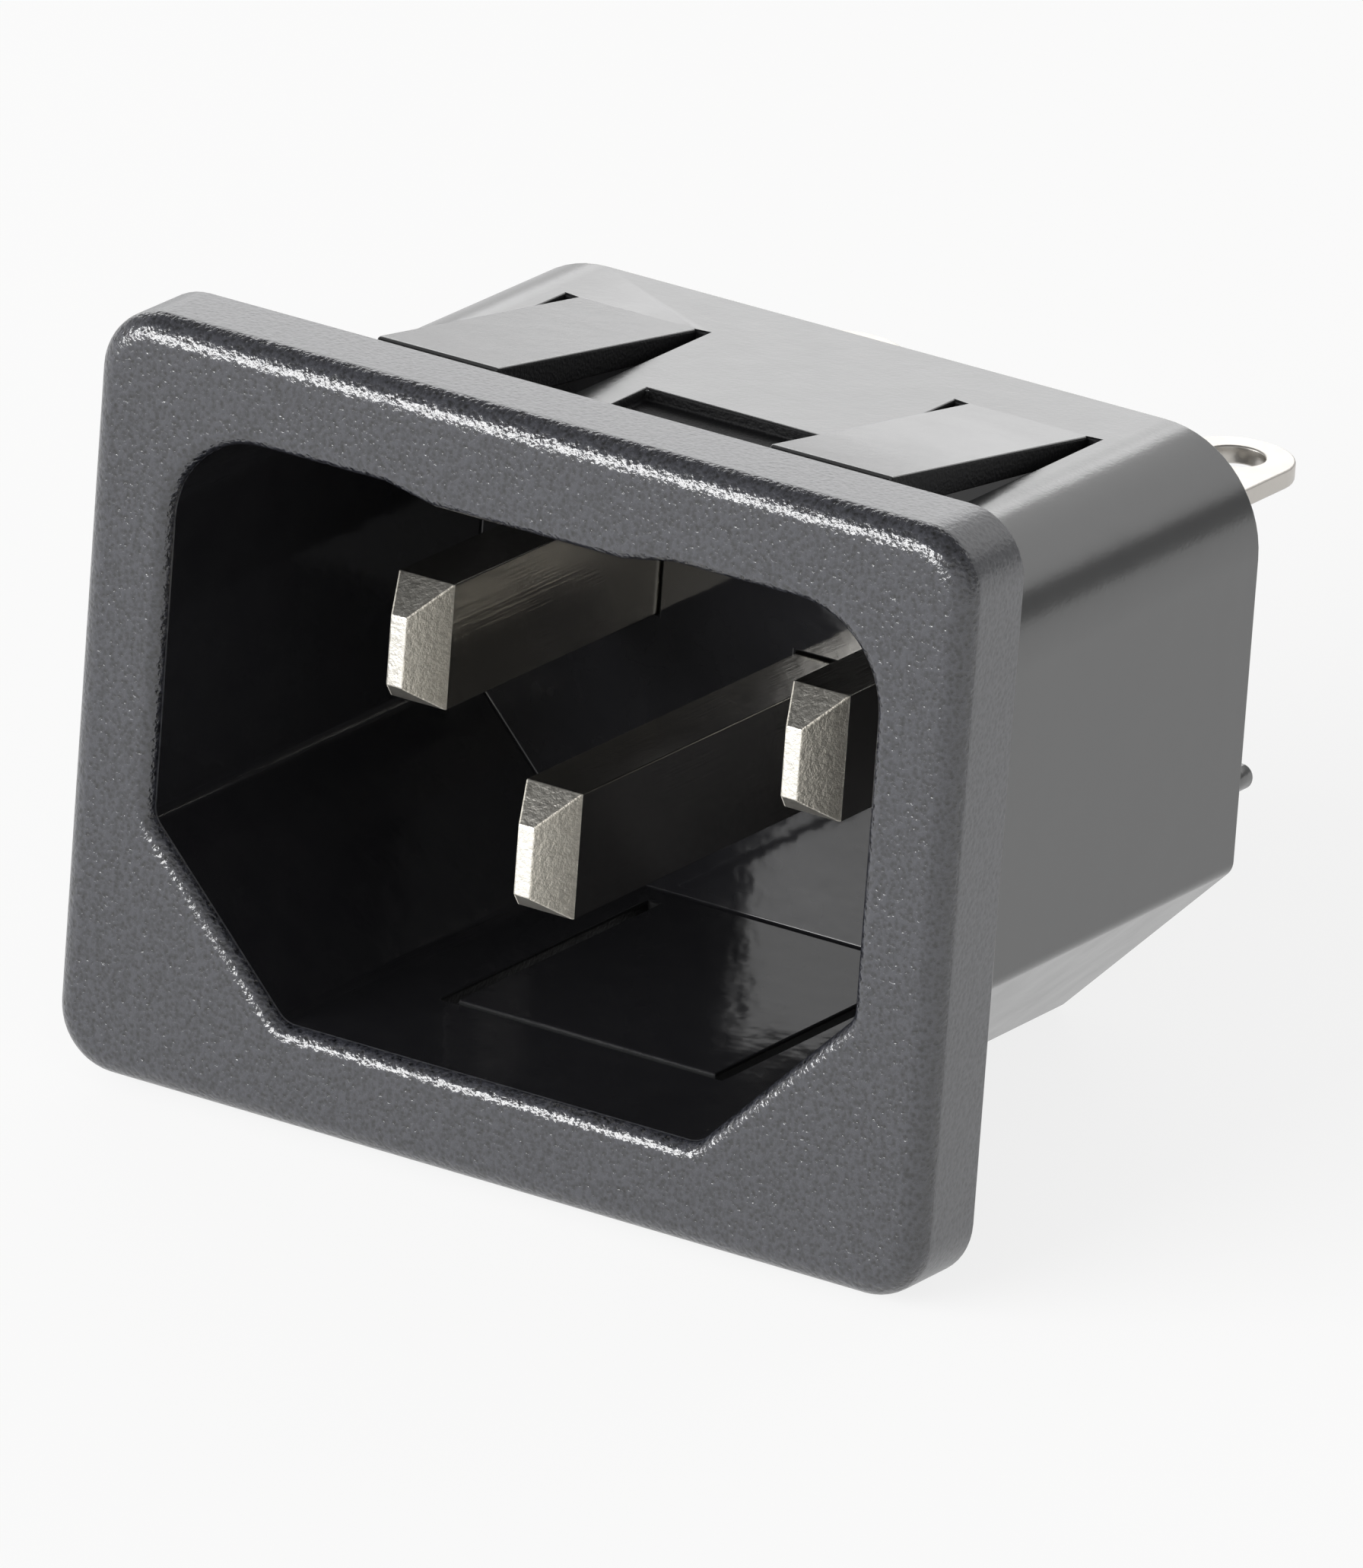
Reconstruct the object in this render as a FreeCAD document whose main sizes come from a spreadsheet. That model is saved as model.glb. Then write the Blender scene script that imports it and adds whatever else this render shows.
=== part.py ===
"""C14 panel inlet socket, snap-in, with solder lugs.

A one-piece moulded housing holds three flat pins. Each pin ends in a riveted
tail that clamps an angled solder lug against the back of the housing.

Frame: +X right and +Z up as seen from the front, +Y into the panel. The
origin is the centre of the flange's rear face, which seats on the panel.
Lengths are in millimetres.
"""
import FreeCAD, Part
import os
import re
import Sketcher

Vector = FreeCAD.Vector
TOUCH = 0.001

# ---------------------------------------------------------------- sizes
SIZES = {
    # flange
    "flange_width": 30.8,
    "flange_height": 24.2,
    "flange_thickness": 3.2,
    "flange_corner_radius": 2.0,
    "flange_front_round": 0.85,
    # shroud behind the flange
    "shroud_width": 27.1,
    "shroud_top": 9.55,
    "shroud_bottom": 9.85,
    "back_rim": 0.6,
    "shroud_corner_radius": 3.6,
    "shroud_chamfer_wide": 5.65,
    "shroud_chamfer_tall": 5.9,
    "shroud_edge_round": 0.6,
    # recess that takes the cord connector
    "side_wall": 1.1,
    "roof_wall": 0.65,
    "sill_wall": 1.0,
    "recess_depth": 17.9,
    "recess_corner_radius": 3.0,
    "recess_chamfer_wide": 5.1,
    "recess_chamfer_tall": 5.3,
    "recess_edge_round": 0.8,
    "rim_round": 0.5,
    "floor_thickness": 1.6,
    # marking pocket in the roof, with the roof thickened below it
    "marking_width": 6.0,
    "marking_start": 4.6,
    "marking_length": 3.6,
    "marking_depth": 0.4,
    "roof_step_drop": 0.35,
    "roof_step_half_width": 3.3,
    "roof_step_slope": 1.8,
    # snap tongues
    "tongue_root": 13.8,
    "tongue_crest": 0.5,
    "tongue_rise": 1.6,
    "tongue_thickness": 1.0,
    "tongue_slot": 0.4,
    "top_tongue_nose": 2.1,
    "top_tongue_gap": 0.8,
    "top_tongue_width": 4.3,
    "top_tongue_centre": 6.95,
    "bottom_tongue_nose": 2.5,
    "bottom_tongue_gap": 0.3,
    "bottom_tongue_width": 9.2,
    "barb_length": 5.0,
    # stub of the moulding gate on the rear rim
    "gate_radius": 0.4,
    "gate_length": 1.0,
    "gate_height": -1.35,
    # pins
    "pole_pitch": 14.0,
    "pole_height": 1.9,
    "earth_drop": 4.0,
    "pin_width": 2.0,
    "pin_height": 4.0,
    "tip_length": 1.45,
    "tip_side": 0.72,
    "tip_top": 0.88,
    "pole_setback": 4.7,
    "earth_setback": 1.4,
    "pin_seat": 0.8,
    "pin_clearance": 0.05,
    "tail_radius": 0.9,
    "tail_clearance": 0.08,
    "rivet_radius": 1.5,
    "rivet_height": 0.7,
    "rivet_round": 0.45,
    # solder lugs
    "lug_width": 3.8,
    "lug_thickness": 0.6,
    "lug_foot": 1.9,
    "lug_rise": 3.3,
    "lug_bend_radius": 0.5,
    "lug_reach": 11.8,
    "lug_corner_radius": 1.0,
    "lug_tip_radius": 1.85,
    "lug_eye_radius": 0.95,
    "lug_eye_setback": 1.8,
}

# where things lie that several pieces share
RECESS_FLOOR = "recess_depth - flange_thickness"
PIN_SEAT = "recess_depth - flange_thickness + pin_seat"
FLOOR_BACK = "recess_depth - flange_thickness + floor_thickness"
SHROUD_LENGTH = "recess_depth - flange_thickness + floor_thickness + back_rim"
EARTH_HEIGHT = "pole_height - earth_drop"

# name, sideways place, height, how far the tip stands behind the front face,
# and the turn of its lug about the pin's own axis
POLES = [
    ("line", "-pole_pitch / 2", "pole_height", "pole_setback", 0),
    ("neutral", "pole_pitch / 2", "pole_height", "pole_setback", 0),
    ("earth", "0", EARTH_HEIGHT, "earth_setback", 180),
]

doc = FreeCAD.newDocument("c14_panel_inlet")
sheet = doc.addObject("Spreadsheet::Sheet", "Sizes")
for row, (alias, value) in enumerate(SIZES.items(), start=1):
    sheet.set(f"A{row}", alias)
    sheet.set(f"B{row}", str(value))
    sheet.setAlias(f"B{row}", alias)
doc.recompute()


# ------------------------------------------------------- small helpers
def size(expression):
    """Value in millimetres of an expression in the sheet's aliases."""
    return float(sheet.evalExpression(expression))


def bind(thing, path, expression):
    """Tie a property or constraint to the sheet."""
    thing.setExpression(path, re.sub(r"[a-z]\w*", r"Sizes.\g<0>", expression))


def new_body(label):
    body = doc.addObject("PartDesign::Body", label)
    body.Label = label
    return body


def new_sketch(body, name, plane, offset):
    """Sketch on one of the body's own planes, moved along the plane's normal."""
    sketch = body.newObject("Sketcher::SketchObject", name)
    planes = {feature.Role: feature for feature in body.Origin.OriginFeatures}
    sketch.AttachmentSupport = (planes[plane], [""])
    sketch.MapMode = "FlatFace"
    bind(sketch, "AttachmentOffset.Base.z", offset)
    return sketch


def outline(body, name, plane, corners, offset="0"):
    """Closed outline with straight sides. Each corner is a pair of expressions."""
    sketch = new_sketch(body, name, plane, offset)
    places = [Vector(size(across), size(up), 0) for across, up in corners]
    count = len(places)
    for index in range(count):
        side = Part.LineSegment(places[index], places[(index + 1) % count])
        sketch.addGeometry(side, False)
    for index, (across, up) in enumerate(corners):
        following = (index + 1) % count
        sketch.addConstraint(Sketcher.Constraint("Coincident", index, 2, following, 1))
        for kind, expression in (("DistanceX", across), ("DistanceY", up)):
            constraint = Sketcher.Constraint(kind, -1, 1, index, 1, size(expression))
            number = sketch.addConstraint(constraint)
            label = f"corner_{index}_{kind[-1].lower()}"
            sketch.renameConstraint(number, label)
            bind(sketch, f"Constraints.{label}", expression)
    return sketch


def box_outline(body, name, plane, low, high, offset="0"):
    """Upright rectangle between two corners."""
    corners = [low, (high[0], low[1]), high, (low[0], high[1])]
    return outline(body, name, plane, corners, offset)


def round_outline(body, name, plane, centre, radius, offset="0"):
    """Circle about a centre given as a pair of expressions."""
    sketch = new_sketch(body, name, plane, offset)
    place = Vector(size(centre[0]), size(centre[1]), 0)
    sketch.addGeometry(Part.Circle(place, Vector(0, 0, 1), size(radius)), False)
    rules = [
        ("centre_x", Sketcher.Constraint("DistanceX", -1, 1, 0, 3, place.x), centre[0]),
        ("centre_y", Sketcher.Constraint("DistanceY", -1, 1, 0, 3, place.y), centre[1]),
        ("radius", Sketcher.Constraint("Radius", 0, size(radius)), radius),
    ]
    for label, constraint, expression in rules:
        sketch.renameConstraint(sketch.addConstraint(constraint), label)
        bind(sketch, f"Constraints.{label}", expression)
    return sketch


def extrude(body, kind, name, sketch, length, backwards=False, midplane=False):
    """Pad or Pocket of a sketch, which must change the body's volume."""
    before = body.Shape.Volume if body.Tip else 0.0
    feature = body.newObject(f"PartDesign::{kind}", name)
    feature.Profile = sketch
    bind(feature, "Length", length)
    feature.Reversed = backwards
    feature.Midplane = midplane
    doc.recompute()
    change = feature.Shape.Volume - before
    if (change > 0) != (kind == "Pad") or abs(change) < TOUCH:
        raise RuntimeError(f"{name} changes the volume by {change:.4f}")
    return feature


def edges_where(body, test):
    """Names of the edges of the body's last feature that pass a test."""
    shape = body.Tip.Shape
    return [f"Edge{i}" for i, edge in enumerate(shape.Edges, start=1) if test(edge)]


def dress(body, kind, name, radius, test):
    """Fillet or Chamfer on the edges that pass a test."""
    names = edges_where(body, test)
    if not names:
        raise RuntimeError(f"{name} finds no edges")
    base = body.Tip
    feature = body.newObject(f"PartDesign::{kind}", name)
    feature.Base = (base, names)
    bind(feature, "Radius" if kind == "Fillet" else "Size", radius)
    doc.recompute()
    return feature


def near(a, b):
    return abs(a - b) < TOUCH


def along(axis, *places):
    """Test for straight edges along an axis that pass through one of the places."""
    others = [name for name in "xyz" if name != axis]

    def test(edge):
        ends = [vertex.Point for vertex in edge.Vertexes]
        if len(ends) != 2 or edge.Curve.TypeId != "Part::GeomLine":
            return False
        if not all(near(getattr(ends[0], o), getattr(ends[1], o)) for o in others):
            return False
        here = [getattr(ends[0], o) for o in others]
        return any(near(here[0], p[0]) and near(here[1], p[1]) for p in places)

    return test


def on_plane(axis, level, inside=None):
    """Test for edges that lie in a plane, and whose box passes a further test."""

    def test(edge):
        box = edge.BoundBox
        low, high = getattr(box, f"{axis.upper()}Min"), getattr(box, f"{axis.upper()}Max")
        if not (near(low, level) and near(high, level)):
            return False
        return inside is None or inside(box)

    return test


def place_body(body, across, back, up, turn=0):
    """Put a body at a place given by the sheet, turned about Y."""
    body.Placement = FreeCAD.Placement(Vector(), FreeCAD.Rotation(Vector(0, 1, 0), turn))
    for axis, expression in (("x", across), ("y", back), ("z", up)):
        bind(body, f"Placement.Base.{axis}", expression)


# ------------------------------------------------------------- housing
def keyed_outline(body, name, half_width, top, bottom, wide, tall, offset, roof=()):
    """The C14 outline: square above, with its two lower corners cut off."""
    corners = [
        (f"-({half_width})", top),
        (f"-({half_width})", f"-({bottom}) + {tall}"),
        (f"-({half_width}) + {wide}", f"-({bottom})"),
        (f"({half_width}) - {wide}", f"-({bottom})"),
        (half_width, f"-({bottom}) + {tall}"),
        (half_width, top),
        *roof,
    ]
    return outline(body, name, "XZ_Plane", corners, offset)


def keyed_edges(half_width, top, bottom, wide, tall):
    """The Y edges of a keyed outline: two upper corners, then four lower ones."""
    half, roof, sill = size(half_width), size(top), -size(bottom)
    cut, climb = size(wide), size(tall)
    upper = [(-half, roof), (half, roof)]
    lower = [(sign * x, z) for sign in (-1, 1) for x, z in ((half, sill + climb), (half - cut, sill))]
    return upper, lower


# half width, top, bottom, and width and height of the cut corners
SHROUD = ("shroud_width / 2", "shroud_top", "shroud_bottom",
          "shroud_chamfer_wide", "shroud_chamfer_tall")
RECESS = ("shroud_width / 2 - side_wall", "shroud_top - roof_wall", "shroud_bottom - sill_wall",
          "recess_chamfer_wide", "recess_chamfer_tall")


def add_shell(body):
    """Flange with its rounds, the shroud still square, and the stub of the gate."""
    half_width, half_height = "flange_width / 2", "flange_height / 2"
    plate = box_outline(body, "flange_outline", "XZ_Plane",
                        (f"-{half_width}", f"-{half_height}"), (half_width, half_height))
    extrude(body, "Pad", "flange", plate, "flange_thickness")
    wide, tall = size(half_width), size(half_height)
    corners = [(x, z) for x in (-wide, wide) for z in (-tall, tall)]
    dress(body, "Fillet", "flange_corners", "flange_corner_radius", along("y", *corners))
    front = -size("flange_thickness")
    dress(body, "Fillet", "flange_front_edge", "flange_front_round", on_plane("y", front))

    wall = keyed_outline(body, "shroud_outline", *SHROUD, "0")
    extrude(body, "Pad", "shroud", wall, SHROUD_LENGTH, backwards=True)
    centre = ("shroud_width / 2 - side_wall / 2", "gate_height")
    gate = round_outline(body, "gate_outline", "XZ_Plane", centre, "gate_radius", f"-({SHROUD_LENGTH})")
    extrude(body, "Pad", "gate_stub", gate, "gate_length", backwards=True)


def add_recess(body):
    """Cavity for the cord connector, with its stepped roof and soft rim."""
    roof = "shroud_top - roof_wall"
    step = "roof_step_half_width"
    ramp = f"{step} + roof_step_slope"
    steps = [
        (ramp, roof),
        (step, f"{roof} - roof_step_drop"),
        (f"-{step}", f"{roof} - roof_step_drop"),
        (f"-({ramp})", roof),
    ]
    cavity = keyed_outline(body, "recess_outline", *RECESS, "flange_thickness", steps)
    extrude(body, "Pocket", "recess", cavity, "recess_depth")
    upper, lower = keyed_edges(*RECESS)
    dress(body, "Fillet", "recess_shoulders", "recess_corner_radius", along("y", *upper))
    dress(body, "Fillet", "recess_key_edges", "recess_edge_round", along("y", *lower))
    front = -size("flange_thickness")
    wide, tall = size(RECESS[0]), max(size(RECESS[1]), size(RECESS[2]))

    def rim(box):
        return max(-box.XMin, box.XMax) < wide + TOUCH and max(-box.ZMin, box.ZMax) < tall + TOUCH

    dress(body, "Fillet", "rim", "rim_round", on_plane("y", front, rim))


def add_back(body):
    """Shallow rear recess, in which the lugs lie."""
    back = keyed_outline(body, "back_outline", *RECESS, f"-({SHROUD_LENGTH})")
    extrude(body, "Pocket", "back_recess", back, "back_rim", backwards=True)
    upper, _ = keyed_edges(*RECESS)
    dress(body, "Fillet", "back_shoulders", "recess_corner_radius", along("y", *upper))


def round_shroud(body):
    """Outer rounds of the shroud, made once both recesses have their own."""
    upper, lower = keyed_edges(*SHROUD)
    dress(body, "Fillet", "shroud_shoulders", "shroud_corner_radius", along("y", *upper))
    dress(body, "Fillet", "shroud_key_edges", "shroud_edge_round", along("y", *lower))


def add_marking_pocket(body):
    """Shallow bare pocket in the roof, just behind the flange."""
    pocket = box_outline(body, "marking_outline", "XY_Plane",
                         ("-marking_width / 2", "marking_start"),
                         ("marking_width / 2", "marking_start + marking_length"), "shroud_top")
    extrude(body, "Pocket", "marking_pocket", pocket, "marking_depth")


def cut_window(body, name, centre, width, front, level, depth, backwards=False):
    """Opening in the roof or the sill that leaves a slot all round a tongue."""
    reach = f"(({width}) / 2 + tongue_slot)"
    window = box_outline(body, f"{name}_window_outline", "XY_Plane",
                         (f"{centre} - {reach}", front), (f"{centre} + {reach}", "tongue_root"), level)
    return extrude(body, "Pocket", f"{name}_window", window, depth, backwards=backwards)


def add_top_tongues(body):
    """Pair of sprung leaves, rooted at the rear, that rise out of the roof towards the flange.

    They bend down as the shroud goes through the cut-out, and spring up behind the panel.
    """
    centre, width = "top_tongue_centre", "top_tongue_width"
    window = cut_window(body, "top_tongue", centre, width, "top_tongue_nose - top_tongue_gap",
                        "shroud_top", "2 * roof_wall")
    crest = "shroud_top + tongue_rise"
    roof = "shroud_top - roof_wall"
    profile = [
        ("tongue_root + tongue_crest", roof),
        ("tongue_root + tongue_crest", "shroud_top"),
        ("tongue_root", "shroud_top"),
        ("top_tongue_nose + tongue_crest", crest),
        ("top_tongue_nose", f"{crest} - tongue_crest"),
        ("top_tongue_nose", f"{crest} - tongue_thickness"),
        ("tongue_root - tongue_crest", roof),
    ]
    leaf = outline(body, "top_tongue_outline", "YZ_Plane", profile, f"{centre} - {width} / 2")
    tongue = extrude(body, "Pad", "top_tongue", leaf, width)
    mirror = body.newObject("PartDesign::Mirrored", "second_top_tongue")
    mirror.Originals = [window, tongue]
    planes = {feature.Role: feature for feature in body.Origin.OriginFeatures}
    mirror.MirrorPlane = (planes["YZ_Plane"], [""])
    body.Tip = mirror
    doc.recompute()


def add_bottom_tongue(body):
    """Broad leaf, level with the sill inside, that carries a barb outside behind the flange."""
    width = "bottom_tongue_width"
    cut_window(body, "bottom_tongue", "0", width, "bottom_tongue_nose - bottom_tongue_gap",
               "-shroud_bottom", "2 * sill_wall", backwards=True)
    crest = "-(shroud_bottom + tongue_rise)"
    sill = "-(shroud_bottom - sill_wall)"
    profile = [
        ("tongue_root + tongue_crest", sill),
        ("tongue_root + tongue_crest", "-shroud_bottom"),
        ("bottom_tongue_nose + barb_length", "-shroud_bottom"),
        ("bottom_tongue_nose + tongue_crest", crest),
        ("bottom_tongue_nose", f"{crest} + tongue_crest"),
        ("bottom_tongue_nose", sill),
    ]
    leaf = outline(body, "bottom_tongue_outline", "YZ_Plane", profile, f"-{width} / 2")
    extrude(body, "Pad", "bottom_tongue", leaf, width)


def add_pin_seats(body):
    """A square seat for each pin in the floor, and a hole for its tail."""
    for name, across, up, _, _ in POLES:
        half_width = "(pin_width / 2 + pin_clearance)"
        half_height = "(pin_height / 2 + pin_clearance)"
        seat = box_outline(body, f"{name}_seat_outline", "XZ_Plane",
                           (f"{across} - {half_width}", f"{up} - {half_height}"),
                           (f"{across} + {half_width}", f"{up} + {half_height}"), f"-({RECESS_FLOOR})")
        extrude(body, "Pocket", f"{name}_seat", seat, "pin_seat")
        hole = round_outline(body, f"{name}_hole_outline", "XZ_Plane", (across, up),
                             "tail_radius + tail_clearance", f"-({PIN_SEAT})")
        extrude(body, "Pocket", f"{name}_hole", hole, "floor_thickness")


def make_housing():
    body = new_body("housing")
    add_shell(body)
    add_recess(body)
    add_back(body)
    round_shroud(body)
    add_marking_pocket(body)
    add_top_tongues(body)
    add_bottom_tongue(body)
    add_pin_seats(body)
    return body


# ---------------------------------------------------------------- pins
def make_pin(name, across, up, setback):
    """Flat pin with a tapered tip, a round tail and a riveted head.

    Its own origin is the middle of the shoulder that sits in the floor.
    """
    body = new_body(f"{name}_pin")
    tip = f"{setback} - recess_depth - pin_seat"
    taper = f"{tip} + tip_length"
    profile = [
        ("0", "pin_height / 2"),
        (taper, "pin_height / 2"),
        (tip, "pin_height / 2 - tip_top"),
        (tip, "tip_top - pin_height / 2"),
        (taper, "-pin_height / 2"),
        ("0", "-pin_height / 2"),
    ]
    blade = outline(body, "blade_outline", "YZ_Plane", profile)
    extrude(body, "Pad", "blade", blade, "pin_width", midplane=True)
    for side, sign in (("left", "-"), ("right", "")):
        edge = f"{sign}pin_width / 2"
        corner = [(edge, tip), (edge, taper), (f"{sign}(pin_width / 2 - tip_side)", tip)]
        cut = outline(body, f"{side}_taper_outline", "XY_Plane", corner)
        extrude(body, "Pocket", f"{side}_taper", cut, "pin_height", midplane=True)
    tail_length = "floor_thickness - pin_seat + lug_thickness"
    tail = round_outline(body, "tail_outline", "XZ_Plane", ("0", "0"), "tail_radius")
    extrude(body, "Pad", "tail", tail, tail_length, backwards=True)
    head = round_outline(body, "head_outline", "XZ_Plane", ("0", "0"), "rivet_radius", f"-({tail_length})")
    extrude(body, "Pad", "head", head, "rivet_height", backwards=True)
    back = size(f"{tail_length} + rivet_height")
    dress(body, "Fillet", "head_round", "rivet_round", on_plane("y", back))
    place_body(body, across, PIN_SEAT, up)
    return body


# ---------------------------------------------------------------- lugs
def make_lug(name, across, up, turn):
    """Angled solder lug: a foot under the rivet and an eyed tab to the rear.

    Its own origin is the rivet's axis on the face against the housing.
    """
    body = new_body(f"{name}_lug")
    inner = "lug_rise - lug_thickness"
    profile = [
        ("0", "-lug_foot"),
        ("lug_thickness", "-lug_foot"),
        ("lug_thickness", inner),
        ("lug_reach", inner),
        ("lug_reach", "lug_rise"),
        ("0", "lug_rise"),
    ]
    strip = outline(body, "strip_outline", "YZ_Plane", profile)
    extrude(body, "Pad", "strip", strip, "lug_width", midplane=True)
    thickness, rise, reach = size("lug_thickness"), size("lug_rise"), size("lug_reach")
    half, foot = size("lug_width / 2"), -size("lug_foot")
    dress(body, "Fillet", "inside_bend", "lug_bend_radius", along("x", (thickness, size(inner))))
    dress(body, "Fillet", "outside_bend", "lug_bend_radius + lug_thickness", along("x", (0, rise)))
    dress(body, "Fillet", "tab_end", "lug_tip_radius", along("z", (-half, reach), (half, reach)))
    dress(body, "Fillet", "foot_end", "lug_corner_radius", along("y", (-half, foot), (half, foot)))
    hole = round_outline(body, "rivet_hole_outline", "XZ_Plane", ("0", "0"),
                         "tail_radius + tail_clearance")
    extrude(body, "Pocket", "rivet_hole", hole, "lug_thickness")
    eye = round_outline(body, "eye_outline", "XY_Plane", ("0", "lug_reach - lug_eye_setback"),
                        "lug_eye_radius", "lug_rise")
    extrude(body, "Pocket", "eye", eye, "lug_thickness")
    place_body(body, across, FLOOR_BACK, up, turn)
    return body


# --------------------------------------------------------------- build
parts = [make_housing()]
for pole, across, up, setback, turn in POLES:
    parts.append(make_pin(pole, across, up, setback))
    parts.append(make_lug(pole, across, up, turn))
doc.recompute()

faults = [o.Name for o in doc.Objects if {"Invalid", "Error"} & set(o.State)]
faults += [p.Label for p in parts if p.Shape.isNull() or not p.Shape.isValid()]
faults += [p.Label for p in parts if len(p.Shape.Solids) != 1]
if faults:
    raise RuntimeError(f"failed: {faults}")

os.makedirs("parts", exist_ok=True)
for part in parts:
    part.Shape.exportStep(f"parts/{part.Label}.step")
    box = part.Shape.BoundBox
    corners = [round(v, 2) for v in (box.XMin, box.YMin, box.ZMin, box.XMax, box.YMax, box.ZMax)]
    print(part.Label, round(part.Shape.Volume, 2), corners)
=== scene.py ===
"""Looks of a snap-in C14 panel inlet: black nylon housing, nickel-plated pins, tinned solder lugs.

Every visible piece starts from its solid in the frame, so it lies exactly where that solid
lies. Its sharp edges are then rounded as the mould or the press leaves them, and each kind
of surface gets its own finish. Lengths are in metres, MM turns millimetres into them.
"""
import math

import bmesh
import bpy
from mathutils import Matrix, Vector


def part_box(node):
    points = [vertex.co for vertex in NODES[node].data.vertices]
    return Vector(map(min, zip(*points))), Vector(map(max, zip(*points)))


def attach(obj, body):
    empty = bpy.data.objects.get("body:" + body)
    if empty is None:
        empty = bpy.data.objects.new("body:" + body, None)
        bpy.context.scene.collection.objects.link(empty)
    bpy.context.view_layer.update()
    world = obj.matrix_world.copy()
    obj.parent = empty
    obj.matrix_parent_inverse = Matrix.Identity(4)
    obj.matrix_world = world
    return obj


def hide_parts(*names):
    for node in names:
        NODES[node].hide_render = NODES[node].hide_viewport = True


MM = 0.001
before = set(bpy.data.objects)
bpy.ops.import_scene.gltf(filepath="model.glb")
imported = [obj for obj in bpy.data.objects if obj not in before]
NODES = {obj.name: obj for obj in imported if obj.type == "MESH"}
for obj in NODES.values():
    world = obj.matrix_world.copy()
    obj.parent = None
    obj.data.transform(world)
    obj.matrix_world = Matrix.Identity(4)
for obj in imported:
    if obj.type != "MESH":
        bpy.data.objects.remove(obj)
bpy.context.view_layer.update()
POLES = ("line", "neutral", "earth")

# Recess that takes the cord connector, as seen from the front. Its rim is rounded as far back
# as RIM_END, and the pins' blades are let into its floor almost to SOCKET_END
RECESS_HALF_WIDTH = 12.45 * MM
RECESS_ROOF = 8.9 * MM
RECESS_SILL = -8.85 * MM
RIM_END = -2.6 * MM
RECESS_FLOOR = 14.7 * MM
SOCKET_END = 15.6 * MM

# Flat of the shroud's roof with the step under it, and the floor of its shallow marking pocket
ROOF_HALF_WIDTH = 9.9 * MM
ROOF_UNDERSIDE = 8.4 * MM
POCKET_FLOOR = 9.15 * MM

# Tongue in the sill with its slots: half their width, and how far down they reach
SILL_TONGUE_HALF_WIDTH = 5.1 * MM
SILL_UNDERSIDE = -9.75 * MM

# How far from a plane a face may lie and still count as in it: closely, loosely and for a radius
NEAR = 0.02 * MM
LOOSE = 0.05 * MM
ROUNDED = 0.1 * MM

# Radius left on sharp edges: by the mould, by the plating and by the press
MOULDED_EDGE = 0.09 * MM
PLATED_EDGE = 0.05 * MM
PRESSED_EDGE = 0.07 * MM

# Angles: faces this level are made one, before and after rounding, an edge this sharp is
# rounded, and the shading breaks where an edge is still this sharp
LEVEL = math.radians(0.6)
LEVEL_AFTER = math.radians(0.1)
SHARP = math.radians(28)
SHADING_BREAK = math.radians(38)

# Places in the moulding with no room for a radius: round the foot of the gate stub, round the
# pins' tails behind their blades, and at the rear ends of the slots in the roof
GATE_FOOT = Vector((13 * MM, 16.9 * MM, -1.35 * MM))
GATE_REACH = 0.45 * MM
PIN_AXES = ((-7 * MM, 1.9 * MM), (7 * MM, 1.9 * MM), (0.0, -2.1 * MM))
TAIL_REACH = 1.25 * MM
BLADE_END = 15.4 * MM
SLOT_END = (13.5 * MM, 14.4 * MM)
SLOT_HEIGHT = (8.5 * MM, 9.3 * MM)


# ---------------------------------------------------------------- camera
def set_camera():
    """Long lens to the right of the socket and above it, level over the table it lies back on."""
    turn, rise, roll = math.radians(31.075), math.radians(19.881), math.radians(-4.246)
    distance, lens, sensor = 822.5 * MM, 730.1, 36.0
    aside, above = -3.572 * MM, 0.115 * MM
    level = Vector((math.cos(turn), math.sin(turn), 0))
    back = Vector((level.y * math.cos(rise), -level.x * math.cos(rise), math.sin(rise)))
    upright = back.cross(level)
    right = math.cos(roll) * level - math.sin(roll) * upright
    up = math.sin(roll) * level + math.cos(roll) * upright
    place = back * distance - right * aside - up * above
    data = bpy.data.cameras.new("camera")
    data.lens = lens
    data.sensor_width = sensor
    data.sensor_fit = "HORIZONTAL"
    data.clip_start = 0.01
    data.clip_end = 20
    camera = bpy.data.objects.new("camera", data)
    facing = Matrix((right, up, back)).transposed().to_4x4()
    camera.matrix_world = Matrix.Translation(place) @ facing
    bpy.context.scene.collection.objects.link(camera)
    bpy.context.scene.camera = camera


# ------------------------------------------------------------- materials
# Refractive index of nylon, and one slightly raised for the sheen of its satin skin
NYLON_IOR = 1.53
SATIN_IOR = 1.6


def colour(code):
    """Linear colour of an sRGB hex code."""
    parts = [int(code[i:i + 2], 16) / 255 for i in (1, 3, 5)]
    return (*(p / 12.92 if p <= 0.04045 else ((p + 0.055) / 1.055) ** 2.4 for p in parts), 1)


def add(tree, kind, inputs=None, output=None, **settings):
    """Add a node and give back one of its outputs, the first unless another is named.

    An input that is another node's output is linked, and any other is set.
    """
    node = tree.nodes.new("ShaderNode" + kind)
    for name, value in settings.items():
        setattr(node, name, value)
    for name, value in (inputs or {}).items():
        socket = next(s for s in node.inputs if s.enabled and name in (s.name, s.identifier))
        if isinstance(value, bpy.types.NodeSocket):
            tree.links.new(value, socket)
        else:
            socket.default_value = value
    return next((s for s in node.outputs if s.enabled and output in (None, s.name)), None)


def new_material(name):
    """Empty material and its node tree."""
    material = bpy.data.materials.new(name)
    material.use_nodes = True
    material.node_tree.nodes.clear()
    return material, material.node_tree


def blend(tree, factor, first, second):
    """Colour between two hex codes."""
    return add(tree, "Mix", {"Factor": factor, "A": colour(first), "B": colour(second)},
               data_type="RGBA")


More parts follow.
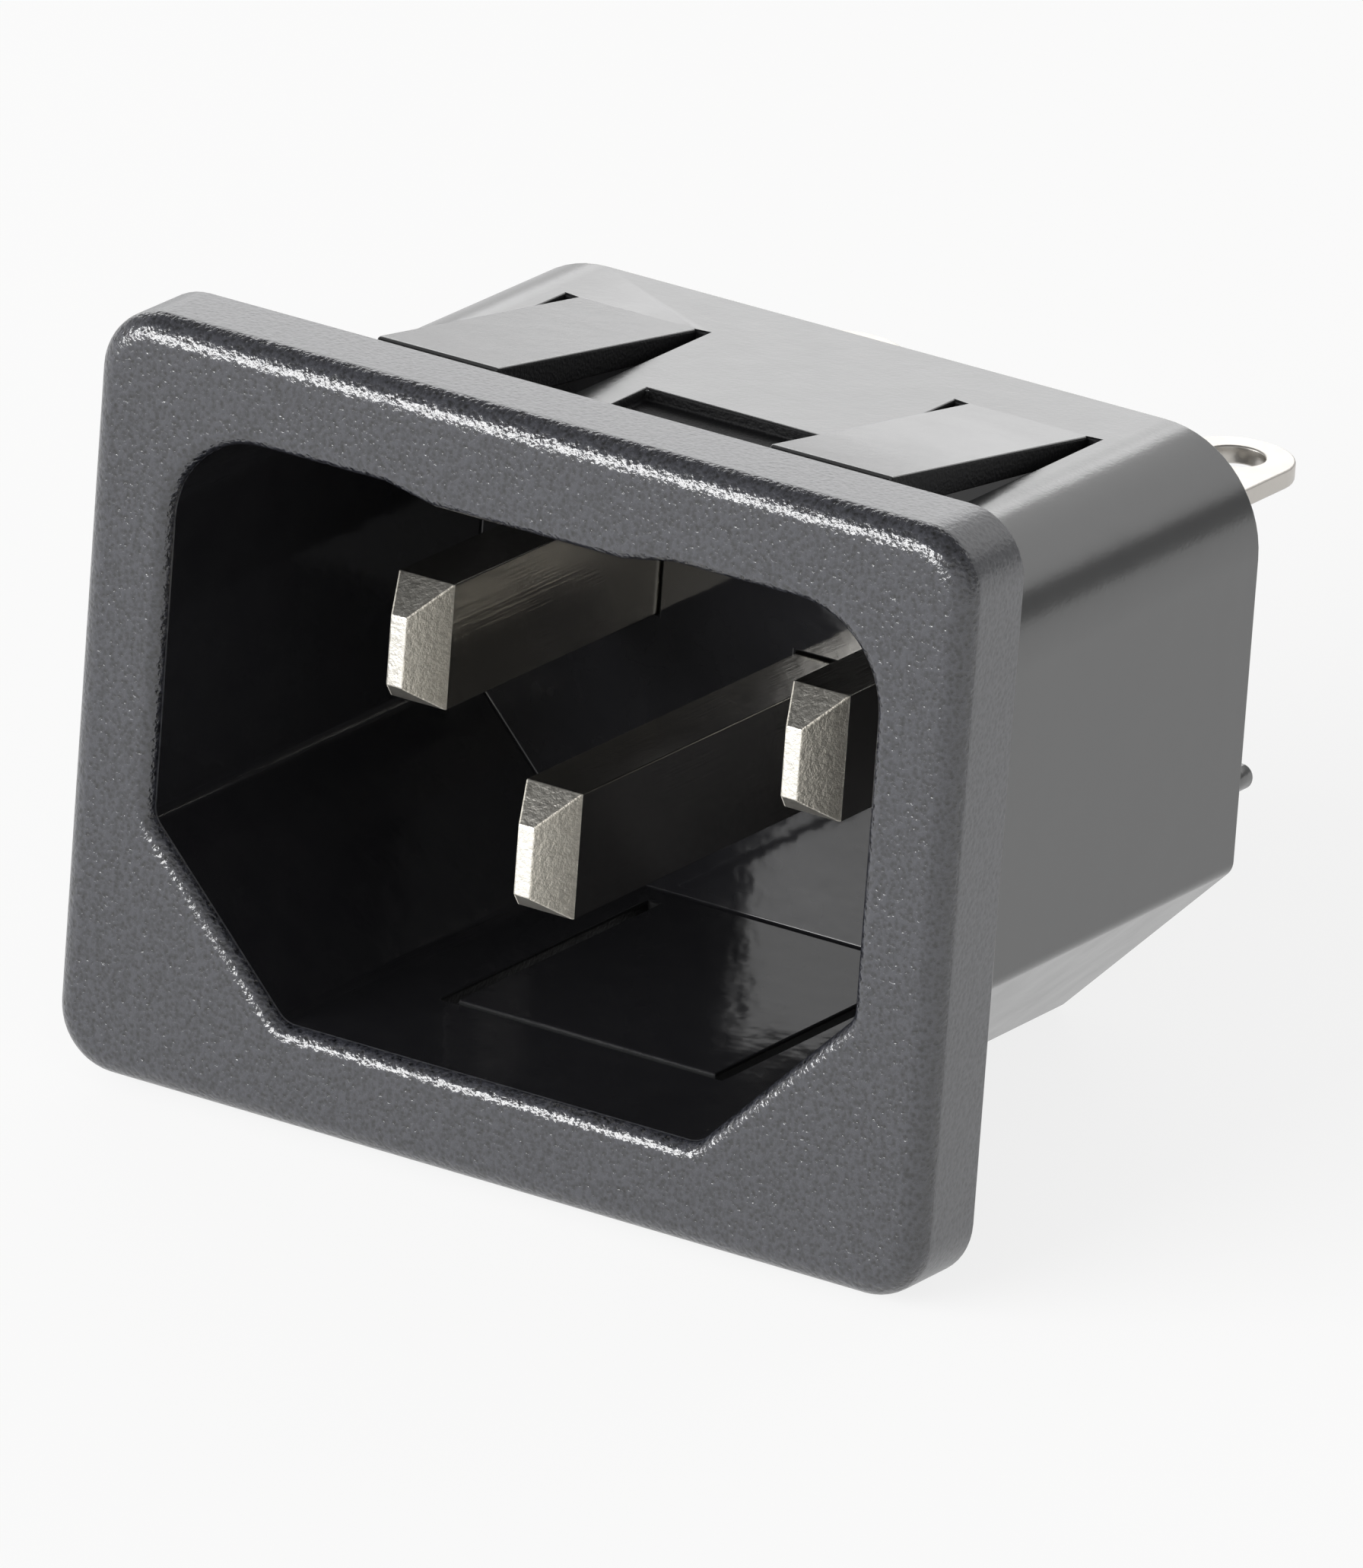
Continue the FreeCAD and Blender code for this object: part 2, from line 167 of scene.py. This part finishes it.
def give_skin(tree, inputs):
    """End a material in one plain skin."""
    add(tree, "OutputMaterial", {"Surface": add(tree, "BsdfPrincipled", inputs)})


def spark_textured_nylon_pit_shade(name, depth, roughness, pit_shade, crest_light):
    """Nylon 6.6, black, moulded against steel pitted by spark erosion, as on the flange.

    The steel leaves a matt skin of rounded pits, 0.1 to 0.2 mm across, that scatters light to a
    mid grey and sparkles where it turns over an edge. They are deep on the front, shallow on the
    sides, which must slide out of the mould. All are drawn about 0.16 mm across, as the finest
    don't show. Their colour is painted shade and light: darker in the pits, paler on the crests.
    """
    material, tree = new_material(name)
    place = add(tree, "TexCoord", output="Object")
    pit_width = 0.16 * MM
    pits = add(tree, "TexNoise", {"Vector": place, "Scale": 1 / pit_width, "Detail": 2,
                                  "Roughness": 0.6})
    grit = add(tree, "TexVoronoi", {"Vector": place, "Scale": 1 / pit_width})
    height = add(tree, "Mix", {"Factor": 0.35, "A": pits, "B": grit}, data_type="FLOAT")
    bump = add(tree, "Bump", {"Height": height, "Strength": 1.0, "Distance": depth})
    # Painted shade and light: the colour follows the relief, darker in the pits, paler on the
    # crests
    fine_relief = add(tree, "MapRange", {"Value": height, "From Min": 0.3, "From Max": 0.6})
    shade = blend(tree, fine_relief, pit_shade, crest_light)
    give_skin(tree, {"Base Color": shade, "Roughness": roughness, "IOR": NYLON_IOR,
                     "Specular IOR Level": 1.0, "Normal": bump})
    return material


def satin_nylon():
    """The same nylon moulded against drawn-polished steel, as on the shroud and the tongues.

    Smooth to the touch, with a soft sheen that a faint waviness of the flow breaks up.
    """
    material, tree = new_material("satin_nylon")
    place = add(tree, "TexCoord", output="Object")
    flow_width, grain_width = 1.6 * MM, 0.12 * MM
    flow = add(tree, "TexNoise", {"Vector": place, "Scale": 1 / flow_width, "Detail": 3,
                                  "Roughness": 0.5})
    fine_relief = add(tree, "TexNoise", {"Vector": place, "Scale": 1 / grain_width, "Detail": 2})
    height = add(tree, "Mix", {"Factor": 0.25, "A": flow, "B": fine_relief}, data_type="FLOAT")
    bump = add(tree, "Bump", {"Height": height, "Strength": 0.6, "Distance": 0.02 * MM})
    shade = blend(tree, flow, "#303132", "#373838")
    rough = add(tree, "MapRange", {"Value": flow, "To Min": 0.17, "To Max": 0.25})
    give_skin(tree, {"Base Color": shade, "Roughness": rough, "IOR": SATIN_IOR,
                     "Specular IOR Level": 1.0, "Normal": bump})
    return material


def polished_nylon_recess_shade():
    """The same nylon moulded against polished steel, as inside the recess.

    The core that forms the recess is polished so that the part strips off it, and the skin it
    leaves is glossy and nearly black; its colour is darker than the satin skin's, as painted
    shade.
    """
    material, tree = new_material("polished_nylon_recess_shade")
    place = add(tree, "TexCoord", output="Object")
    ripple_width = 1.1 * MM
    ripple = add(tree, "TexNoise", {"Vector": place, "Scale": 1 / ripple_width, "Detail": 2})
    bump = add(tree, "Bump", {"Height": ripple, "Strength": 0.5, "Distance": 0.02 * MM})
    rough = add(tree, "MapRange", {"Value": ripple, "To Min": 0.05, "To Max": 0.11})
    # Darker than the satin skin: painted shade inside the recess
    shade = blend(tree, ripple, "#1c1c1f", "#262628")
    give_skin(tree, {"Base Color": shade, "Roughness": rough, "IOR": NYLON_IOR, "Normal": bump})
    return material


def slot_shade_nylon():
    """The same nylon moulded against bare pitted steel, too narrow to polish, as in the slots.

    Matt, and coloured near-black: painted shade for the little light that comes into a slot.
    """
    material, tree = new_material("slot_shade_nylon")
    place = add(tree, "TexCoord", output="Object")
    pit_width = 0.12 * MM
    pits = add(tree, "TexNoise", {"Vector": place, "Scale": 1 / pit_width, "Detail": 2})
    bump = add(tree, "Bump", {"Height": pits, "Strength": 1.0, "Distance": 0.04 * MM})
    # Painted shade: near-black, as little light comes into a slot
    shade = blend(tree, pits, "#0a0a0c", "#131315")
    give_skin(tree, {"Base Color": shade, "Roughness": 0.6, "IOR": NYLON_IOR,
                     "Specular IOR Level": 0.28, "Normal": bump})
    return material


def nickel_plated_brass(name, rough_from, rough_to, mottling, depth):
    """Drawn brass strip under bright nickel, as on the pins.

    The die leaves fine lines along the blade, which the nickel softens but doesn't hide, and
    pressing the tip to its taper leaves its end and its facets duller and mottled.
    """
    material, tree = new_material(name)
    place = add(tree, "TexCoord", output="Object")
    line_width, line_length, mottle_width = 0.10 * MM, 6 * MM, 0.20 * MM
    drawn = add(tree, "Mapping", {"Vector": place,
                                  "Scale": (1 / line_width, 1 / line_length, 1 / line_width)})
    lines = add(tree, "TexNoise", {"Vector": drawn, "Scale": 1.0, "Detail": 2})
    mottle = add(tree, "TexNoise", {"Vector": place, "Scale": 1 / mottle_width, "Detail": 3,
                                    "Roughness": 0.65})
    height = add(tree, "Mix", {"Factor": mottling, "A": lines, "B": mottle}, data_type="FLOAT")
    bump = add(tree, "Bump", {"Height": height, "Strength": 1.0, "Distance": depth})
    rough = add(tree, "MapRange", {"Value": mottle, "To Min": rough_from, "To Max": rough_to})
    shade = blend(tree, mottle, "#dcd8ce", "#f5f2eb")
    give_skin(tree, {"Base Color": shade, "Metallic": 1.0, "Roughness": rough, "Normal": bump})
    return material


def tinned_brass():
    """Pressed brass under dull tin, as on the solder lugs: pale, soft and slightly uneven."""
    material, tree = new_material("tinned_brass")
    place = add(tree, "TexCoord", output="Object")
    bloom_width = 0.8 * MM
    bloom = add(tree, "TexNoise", {"Vector": place, "Scale": 1 / bloom_width, "Detail": 4,
                                   "Roughness": 0.6})
    bump = add(tree, "Bump", {"Height": bloom, "Strength": 0.6, "Distance": 0.02 * MM})
    rough = add(tree, "MapRange", {"Value": bloom, "To Min": 0.26, "To Max": 0.44})
    shade = blend(tree, bloom, "#b8b4ae", "#cecac4")
    give_skin(tree, {"Base Color": shade, "Metallic": 1.0, "Roughness": rough, "Normal": bump})
    return material


# ---------------------------------------------------------------- pieces
def lacks_room(edge):
    """Whether an edge of the moulding stays sharp, as it has others too near it."""
    place = (edge.verts[0].co + edge.verts[1].co) / 2
    at_gate = (place - GATE_FOOT).length < GATE_REACH
    from_axis = min(math.hypot(place.x - x, place.z - z) for x, z in PIN_AXES)
    at_tail = place.y > BLADE_END and from_axis < TAIL_REACH
    at_slot = SLOT_END[0] < place.y < SLOT_END[1] and SLOT_HEIGHT[0] < place.z < SLOT_HEIGHT[1]
    return at_gate or at_tail or at_slot


def softened(node, radius):
    """Copy of a node's solid with flat faces made whole and sharp edges rounded.

    Corners much nearer to each other than the radius are made one first.
    """
    shape = bmesh.new()
    shape.from_mesh(NODES[node].data)
    bmesh.ops.remove_doubles(shape, verts=shape.verts, dist=0.4 * radius)
    bmesh.ops.dissolve_limit(shape, angle_limit=LEVEL, verts=shape.verts, edges=shape.edges)
    sharp = [e for e in shape.edges if e.is_manifold and e.calc_face_angle() > SHARP
             and not (node == "housing" and lacks_room(e))]
    bmesh.ops.bevel(shape, geom=sharp, offset=radius, offset_type="OFFSET", affect="EDGES",
                    segments=2, profile=0.5, clamp_overlap=False)
    bmesh.ops.dissolve_limit(shape, angle_limit=LEVEL_AFTER, verts=shape.verts, edges=shape.edges)
    return shape


def add_piece(name, shape, finishes, node):
    """Make a piece from a shape that stands for a node, with smooth shading."""
    mesh = bpy.data.meshes.new(name)
    shape.to_mesh(mesh)
    shape.free()
    for finish in finishes:
        mesh.materials.append(finish)
    mesh.shade_smooth()
    mesh.set_sharp_from_angle(angle=SHADING_BREAK)
    piece = bpy.data.objects.new(name, mesh)
    bpy.context.scene.collection.objects.link(piece)
    weighted = piece.modifiers.new("even_shading", "WEIGHTED_NORMAL")
    weighted.keep_sharp = True
    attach(piece, "root")
    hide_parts(node)


def bounds_recess(place, normal):
    """Whether a face of the moulding looks into the recess, behind its rounded rim."""
    across = abs(place.x) < RECESS_HALF_WIDTH + NEAR
    upright = RECESS_SILL - NEAR < place.z < RECESS_ROOF + NEAR
    inward = place.x * normal.x + place.z * normal.z < ROUNDED
    return across and upright and inward and RIM_END < place.y < SOCKET_END


def cut_by_slot(place, normal):
    """Whether a face is a tongue's flank, a wall of its slot or part of the marking pocket."""
    in_roof = abs(place.x) < ROOF_HALF_WIDTH and place.z > ROOF_UNDERSIDE
    flank = abs(normal.x) > 0.7 or normal.y < -0.7
    pocket = place.z < POCKET_FLOOR + LOOSE
    in_sill = abs(place.x) < SILL_TONGUE_HALF_WIDTH and place.z < RECESS_SILL + NEAR
    edge = abs(normal.z) < 0.9 and place.z > SILL_UNDERSIDE
    return place.y > ROUNDED and (in_roof and (flank or pocket) or in_sill and edge)


def make_housing():
    """One moulding: textured flange front, satin sides and shroud, polished recess, matt slots."""
    finishes = [
        # The flange's front: deep pits, with painted shade and light in their colour
        spark_textured_nylon_pit_shade("spark_textured_nylon_pit_shade", depth=0.05 * MM, roughness=0.20,
                             pit_shade="#060709", crest_light="#36373d"),
        satin_nylon(),
        polished_nylon_recess_shade(),
        slot_shade_nylon(),
        # The flange's sides: shallow pits, and paler colours as a painted sheen
        spark_textured_nylon_pit_shade("fine_spark_nylon_pit_shade_and_sheen", depth=0.02 * MM, roughness=0.31,
                             pit_shade="#3b3c40", crest_light="#525357"),
    ]
    front, satin, polished, slot_shade, sides = range(len(finishes))
    shape = softened("housing", MOULDED_EDGE)
    for face in shape.faces:
        place = face.calc_center_median()
        # Slot walls and the marking pocket are coloured near-black, painted shade in the slots
        if cut_by_slot(place, face.normal):
            face.material_index = slot_shade
        elif bounds_recess(place, face.normal):
            face.material_index = polished
        elif place.y > -ROUNDED:
            face.material_index = satin
        else:
            face.material_index = sides if face.normal.y > -0.1 else front
    add_piece("moulded_housing", shape, finishes, "housing")


def make_pins():
    """Flat pins, with the tip's side facets dullest, and its end and other facets between."""
    finishes = [
        nickel_plated_brass("drawn_nickel_plate", rough_from=0.15, rough_to=0.25,
                            mottling=0.3, depth=0.012 * MM),
        nickel_plated_brass("swaged_nickel_plate", rough_from=0.35, rough_to=0.55,
                            mottling=0.9, depth=0.05 * MM),
        nickel_plated_brass("coined_nickel_plate", rough_from=0.75, rough_to=1.0,
                            mottling=0.9, depth=0.16 * MM),
    ]
    drawn, swaged, coined = range(len(finishes))
    for pole in POLES:
        shape = softened(f"{pole}_pin", PLATED_EDGE)
        for face in shape.faces:
            tapered = face.calc_center_median().y < RECESS_FLOOR and face.normal.y < -0.2
            sideways = abs(face.normal.x) > 0.3
            face.material_index = (coined if sideways else swaged) if tapered else drawn
        add_piece(f"{pole}_flat_pin", shape, finishes, f"{pole}_pin")


def make_lugs():
    """Angled lugs, all of one finish."""
    finishes = [tinned_brass()]
    for pole in POLES:
        shape = softened(f"{pole}_lug", PRESSED_EDGE)
        add_piece(f"{pole}_solder_lug", shape, finishes, f"{pole}_lug")


# ----------------------------------------------------------------- stage
def floor_white():
    """Matt white table. The camera and the gloss see it lifted towards white, with the shadow."""
    material, tree = new_material("white_table")
    matt = add(tree, "BsdfDiffuse", {"Color": colour("#f6f6f5")})
    lift = add(tree, "Emission", {"Color": colour("#ffffff"), "Strength": 1.0})
    pale = add(tree, "MixShader", {"Fac": 0.82, "Shader": matt, "Shader_001": lift})
    camera = add(tree, "LightPath", output="Is Camera Ray")
    gloss = add(tree, "LightPath", output="Is Glossy Ray")
    lifted = add(tree, "Math", {"Value": camera, "Value_001": gloss}, operation="MAXIMUM")
    seen = add(tree, "MixShader", {"Fac": lifted, "Shader": matt, "Shader_001": pale})
    clear = add(tree, "BsdfTransparent")
    side = add(tree, "NewGeometry", output="Backfacing")
    both = add(tree, "MixShader", {"Fac": side, "Shader": seen, "Shader_001": clear})
    add(tree, "OutputMaterial", {"Surface": both})
    return material


def make_floor():
    """Plain table under the socket, which lies back on its flange and its shroud's rear edge."""
    behind_flange = 5 * MM
    reach = 1.5
    points = [vertex.co for node in NODES.values() for vertex in node.data.vertices]
    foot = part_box("housing")[0].z
    slope = min((point.z - foot) / point.y for point in points if point.y > behind_flange)
    shape = bmesh.new()
    corners = [shape.verts.new((x, y, foot + slope * y)) for x, y in
               ((-reach, -reach), (reach, -reach), (reach, reach), (-reach, reach))]
    shape.faces.new(corners)
    mesh = bpy.data.meshes.new("table")
    shape.to_mesh(mesh)
    shape.free()
    mesh.materials.append(floor_white())
    table = bpy.data.objects.new("table", mesh)
    bpy.context.scene.collection.objects.link(table)


def add_lamp(name, towards, width, height, power):
    """Soft panel that faces the socket from a direction, 0.9 m away."""
    distance = 0.9
    data = bpy.data.lights.new(name, "AREA")
    data.shape = "RECTANGLE"
    data.size = width
    data.size_y = height
    data.energy = power
    lamp = bpy.data.objects.new(name, data)
    direction = Vector(towards).normalized()
    facing = direction.to_track_quat("Z", "Y").to_matrix().to_4x4()
    lamp.matrix_world = Matrix.Translation(direction * distance) @ facing
    bpy.context.scene.collection.objects.link(lamp)


def light_studio():
    """Pale room, dimmer towards its back and ceiling, with soft panels before and behind."""
    world = bpy.data.worlds.new("studio")
    world.use_nodes = True
    tree = world.node_tree
    tree.nodes.clear()
    ray = add(tree, "LightPath", output="Is Camera Ray")
    around = add(tree, "TexCoord", output="Generated")
    depth = add(tree, "SeparateXYZ", {"Vector": around}, output="Y")
    height = add(tree, "SeparateXYZ", {"Vector": around}, output="Z")
    wall = add(tree, "MapRange", {"Value": depth, "From Min": -0.6, "From Max": 0.7,
                                  "To Min": 0.8, "To Max": 0.3})
    dimming = add(tree, "MapRange", {"Value": height, "From Min": 0.4, "From Max": 0.75,
                                     "To Min": 1.0, "To Max": 0.4})
    room = add(tree, "Math", {"Value": wall, "Value_001": dimming}, operation="MULTIPLY")
    level = add(tree, "Mix", {"Factor": ray, "A": room, "B": 1.0}, data_type="FLOAT")
    glow = add(tree, "Background", {"Color": colour("#ffffff"), "Strength": level})
    add(tree, "OutputWorld", {"Surface": glow})
    bpy.context.scene.world = world
    add_lamp("front_panel", (-0.50, -0.82, 0.28), width=0.90, height=0.30, power=9.0)
    add_lamp("rear_panel", (-0.58, 0.74, 0.36), width=0.60, height=0.42, power=1.65)
    add_lamp("high_panel", (0.07, 0.82, 0.57), width=0.86, height=0.45, power=1.15)


def main():
    """Dress the part and set its stage."""
    bpy.context.scene.view_settings.view_transform = "Standard"
    set_camera()
    make_housing()
    make_pins()
    make_lugs()
    make_floor()
    light_studio()


main()
